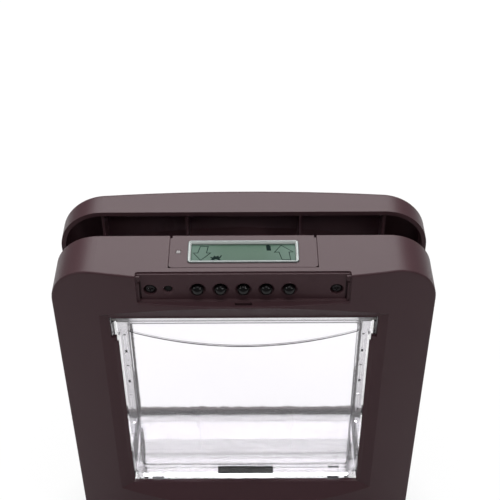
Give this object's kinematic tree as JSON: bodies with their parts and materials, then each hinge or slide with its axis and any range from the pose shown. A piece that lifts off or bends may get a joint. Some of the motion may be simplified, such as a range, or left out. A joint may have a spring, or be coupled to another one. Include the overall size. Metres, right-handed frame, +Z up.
{
  "type": "electronic cat flap",
  "caption": "Electronic pet door: a clear flap swings in a telescoping tunnel between room and garden frames, with sill latches, push buttons and a small display.",
  "frame": {"origin": "middle of the base on X, halfway through the depth on Y, on the surface it stands on", "axes": "+Z up, the longest way; +Y from the room to the garden through the door, the shortest way; +X to the right seen from the room"},
  "size_m": [0.24, 0.0884, 0.2708],
  "materials": {
    "brown_shell": "dark brown moulded ABS, satin",
    "clear_plastic": "clear polycarbonate",
    "silver_trim": "silver lacquered plastic",
    "display_glass": "grey green reflective display",
    "lamp_lens": "milky light guide",
    "gloss_black": "polished black",
    "black_plastic": "plain moulded",
    "circuit_board": "solder resist",
    "zinc_steel": "zinc plated",
    "copper_wire": "enamelled copper winding",
    "magnet_metal": "nickel plated magnet",
    "cell_jacket": "plain jacket"
  },
  "bodies": {
    "housing": {"front_housing": "brown_shell", "chassis": "brown_shell", "inner_tunnel": "clear_plastic", "hinge_bearing_left": "clear_plastic", "hinge_bearing_right": "clear_plastic", "display_panel": "brown_shell", "display_bezel": "silver_trim", "lcd_screen": "display_glass", "lcd_module": "black_plastic", "indicator_window": "lamp_lens", "key_switches": "black_plastic", "main_board": "circuit_board", "cover_screws": "zinc_steel", "base_screws": "zinc_steel", "battery_cover_screws": "zinc_steel", "reader_coil": "copper_wire", "latch_coil_out": "zinc_steel", "latch_coil_in": "zinc_steel", "sill_magnet": "magnet_metal", "battery_box": "black_plastic", "battery_cells": "cell_jacket", "battery_contacts": "zinc_steel", "battery_cover": "brown_shell", "fixing_nuts": "zinc_steel"},
    "garden_frame": {"rear_frame": "brown_shell", "outer_tunnel": "clear_plastic", "fixing_bolts": "zinc_steel"},
    "flap": {"flap": "clear_plastic", "hinge_pins": "zinc_steel", "flap_magnet": "magnet_metal"},
    "reset_button": {"reset_button": "black_plastic"},
    "latch_pawl_out": {"latch_pawl_out": "black_plastic"},
    "latch_pawl_in": {"latch_pawl_in": "black_plastic"},
    "button_1": {"button_1": "gloss_black"},
    "button_2": {"button_2": "gloss_black"},
    "button_3": {"button_3": "gloss_black"},
    "button_4": {"button_4": "gloss_black"},
    "button_5": {"button_5": "gloss_black"}
  },
  "joints": [
    {"name": "door_thickness_slide", "type": "slide", "parent": "housing", "child": "garden_frame", "axis": [0, 1, 0], "range_m": [-0.009, 0.014]},
    {"name": "flap_swing", "type": "hinge", "parent": "housing", "child": "flap", "pos_m": [0, -0.0292, 0.224], "axis": [1, 0, 0], "range_deg": [-80, 80]},
    {"name": "button_1_press", "type": "slide", "parent": "housing", "child": "button_1", "axis": [0, 1, 0], "range_m": [0, 0.0008], "stiffness_N_per_m": 900, "springref_m": -0.001},
    {"name": "button_2_press", "type": "slide", "parent": "housing", "child": "button_2", "axis": [0, 1, 0], "range_m": [0, 0.0008], "stiffness_N_per_m": 900, "springref_m": -0.001},
    {"name": "button_3_press", "type": "slide", "parent": "housing", "child": "button_3", "axis": [0, 1, 0], "range_m": [0, 0.0008], "stiffness_N_per_m": 900, "springref_m": -0.001},
    {"name": "button_4_press", "type": "slide", "parent": "housing", "child": "button_4", "axis": [0, 1, 0], "range_m": [0, 0.0008], "stiffness_N_per_m": 900, "springref_m": -0.001},
    {"name": "button_5_press", "type": "slide", "parent": "housing", "child": "button_5", "axis": [0, 1, 0], "range_m": [0, 0.0008], "stiffness_N_per_m": 900, "springref_m": -0.001},
    {"name": "reset_button_press", "type": "slide", "parent": "housing", "child": "reset_button", "axis": [0, 1, 0], "range_m": [0, 0.0008], "stiffness_N_per_m": 900, "springref_m": -0.001},
    {"name": "latch_pawl_out_lift", "type": "slide", "parent": "housing", "child": "latch_pawl_out", "axis": [0, 0, 1], "range_m": [0, 0.0052]},
    {"name": "latch_pawl_in_lift", "type": "slide", "parent": "housing", "child": "latch_pawl_in", "axis": [0, 0, 1], "range_m": [0, 0.0052]}
  ]
}
